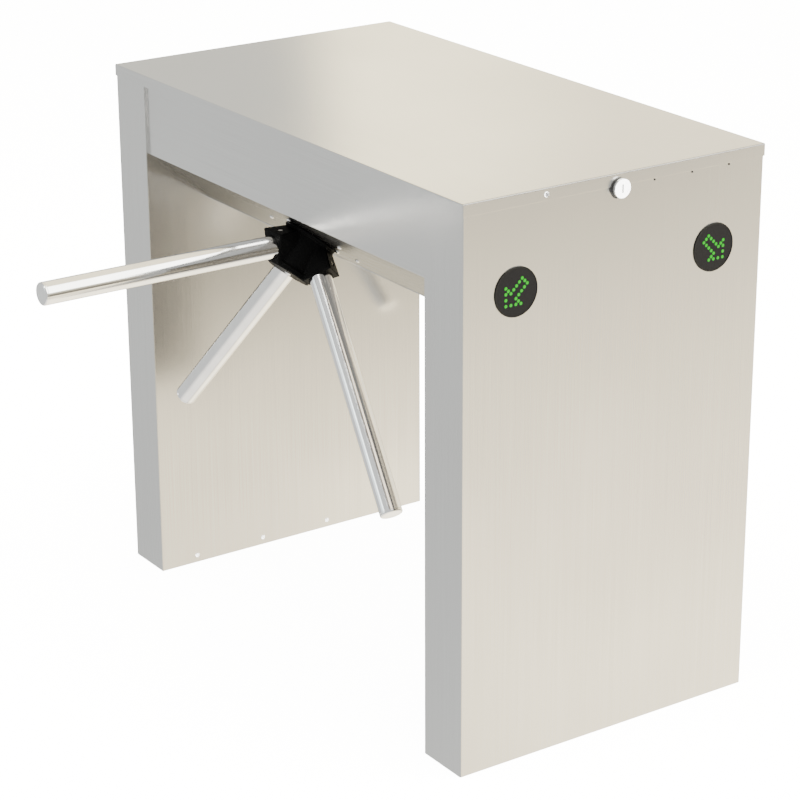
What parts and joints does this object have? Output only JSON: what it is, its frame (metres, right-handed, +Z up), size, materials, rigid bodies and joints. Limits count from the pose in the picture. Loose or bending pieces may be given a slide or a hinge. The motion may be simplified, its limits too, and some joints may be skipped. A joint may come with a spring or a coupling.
{
  "type": "tripod turnstile",
  "caption": "Bridge-shaped stainless turnstile cabinet on two legs, with a black hub and three tubular arms on each side, arrow indicators and a lockable lid.",
  "frame": {"origin": "on the floor at the centre of the cabinet's footprint, the centre of the anchor holes", "axes": "+Z up; +X along the cabinet to the end that carries the lock; -Y is the front side, where arm 1 of the front rotor points out level"},
  "size_m": [1.1333, 1.5198, 1],
  "materials": {
    "casing_steel": "stainless sheet with a fine satin finish",
    "frame_paint": "grey primer on welded steel",
    "fastener_steel": "bright plated steel",
    "zinc_steel": "zinc-plated steel",
    "lock_metal": "dark barrel",
    "lock_face": "bright face",
    "board": "green circuit board with dark blocks",
    "indicator_plastic": "dark grey moulded plastic",
    "green_light": "lit green lens",
    "bearing_steel": "ground steel",
    "cast_aluminium": "turned and machined",
    "motor_paint": "dark enamel",
    "polished_steel": "polished stainless tube",
    "black_paint": "satin black",
    "gear_brass": "machined brass"
  },
  "bodies": {
    "cabinet": {"far_leg_shell": "casing_steel", "near_leg_shell": "casing_steel", "far_leg_panel": "casing_steel", "near_leg_panel": "casing_steel", "base_plates": "frame_paint", "far_leg_frame": "frame_paint", "near_leg_frame": "frame_paint", "front_fascia": "casing_steel", "rear_fascia": "casing_steel", "bottom_tray": "casing_steel", "bridge_rails": "frame_paint", "case_screws": "fastener_steel", "terminal_rail": "zinc_steel", "lock_body": "lock_metal", "lock_nut": "fastener_steel", "controller_board": "board", "power_supply": "zinc_steel", "near_indicators": "indicator_plastic", "far_indicators": "indicator_plastic", "indicator_boxes": "indicator_plastic", "indicator_leds": "green_light", "bearings": "bearing_steel", "magnets": "motor_paint", "lid_hinge_leaves": "fastener_steel", "front_chassis": "zinc_steel", "rear_chassis": "zinc_steel", "front_bearing_housing": "cast_aluminium", "rear_bearing_housing": "cast_aluminium", "front_motor": "motor_paint", "rear_motor": "motor_paint"},
    "lid": {"lid": "casing_steel", "lid_hinge_straps": "fastener_steel", "lid_catch": "zinc_steel", "lid_screw": "fastener_steel"},
    "lock": {"lock_plug": "lock_face", "lock_cam": "zinc_steel"},
    "front_rotor": {"front_shaft": "bearing_steel", "front_hub": "black_paint", "front_arm_1": "polished_steel", "front_arm_2": "polished_steel", "front_arm_3": "polished_steel", "front_arm_caps": "polished_steel", "front_hub_screws": "fastener_steel", "front_lock_disc": "zinc_steel", "front_drive_gear": "gear_brass"},
    "rear_rotor": {"rear_shaft": "bearing_steel", "rear_hub": "black_paint", "rear_arm_1": "polished_steel", "rear_arm_2": "polished_steel", "rear_arm_3": "polished_steel", "rear_arm_caps": "polished_steel", "rear_hub_screws": "fastener_steel", "rear_lock_disc": "zinc_steel", "rear_drive_gear": "gear_brass"},
    "front_pinion": {"front_pinion": "bearing_steel"},
    "rear_pinion": {"rear_pinion": "bearing_steel"},
    "front_pawl_a": {"front_pawl_a": "zinc_steel"},
    "front_pawl_b": {"front_pawl_b": "zinc_steel"},
    "rear_pawl_a": {"rear_pawl_a": "zinc_steel"},
    "rear_pawl_b": {"rear_pawl_b": "zinc_steel"}
  },
  "joints": [
    {"name": "front_rotor_turn", "type": "hinge", "parent": "cabinet", "child": "front_rotor", "pos_m": [0, -0.23894, 0.78789], "axis": [0, -0.6428, -0.766], "continuous": true},
    {"name": "rear_rotor_turn", "type": "hinge", "parent": "cabinet", "child": "rear_rotor", "pos_m": [0, 0.23894, 0.78789], "axis": [0, 0.6428, -0.766], "continuous": true},
    {"name": "front_pinion_spin", "type": "hinge", "parent": "cabinet", "child": "front_pinion", "pos_m": [-0.084, -0.17408, 0.86518], "axis": [0, -0.6428, -0.766], "continuous": true},
    {"name": "rear_pinion_spin", "type": "hinge", "parent": "cabinet", "child": "rear_pinion", "pos_m": [0.084, 0.17408, 0.86518], "axis": [0, 0.6428, -0.766], "continuous": true},
    {"name": "front_pawl_a_swing", "type": "hinge", "parent": "cabinet", "child": "front_pawl_a", "pos_m": [0.083, -0.21819, 0.88262], "axis": [0, 0.6428, 0.766], "range_deg": [0, 11], "stiffness_Nm_per_rad": 0.5, "springref_deg": -11.46},
    {"name": "front_pawl_b_swing", "type": "hinge", "parent": "cabinet", "child": "front_pawl_b", "pos_m": [-0.083, -0.21819, 0.88262], "axis": [0, -0.6428, -0.766], "range_deg": [0, 11], "stiffness_Nm_per_rad": 0.5, "springref_deg": -11.46},
    {"name": "rear_pawl_a_swing", "type": "hinge", "parent": "cabinet", "child": "rear_pawl_a", "pos_m": [-0.083, 0.21819, 0.88262], "axis": [0, -0.6428, 0.766], "range_deg": [0, 11], "stiffness_Nm_per_rad": 0.5, "springref_deg": -11.46},
    {"name": "rear_pawl_b_swing", "type": "hinge", "parent": "cabinet", "child": "rear_pawl_b", "pos_m": [0.083, 0.21819, 0.88262], "axis": [0, 0.6428, -0.766], "range_deg": [0, 11], "stiffness_Nm_per_rad": 0.5, "springref_deg": -11.46},
    {"name": "lid_open", "type": "hinge", "parent": "cabinet", "child": "lid", "pos_m": [-0.5623, 0, 0.976], "axis": [0, -1, 0], "range_deg": [0, 75]},
    {"name": "lock_turn", "type": "hinge", "parent": "cabinet", "child": "lock", "pos_m": [0.556, 0, 0.9755], "axis": [-1, 0, 0], "range_deg": [0, 90]}
  ],
  "couplings": [
    {"joint": "front_pinion_spin", "follows": "front_rotor_turn", "ratio": -2.5},
    {"joint": "rear_pinion_spin", "follows": "rear_rotor_turn", "ratio": -2.5}
  ]
}
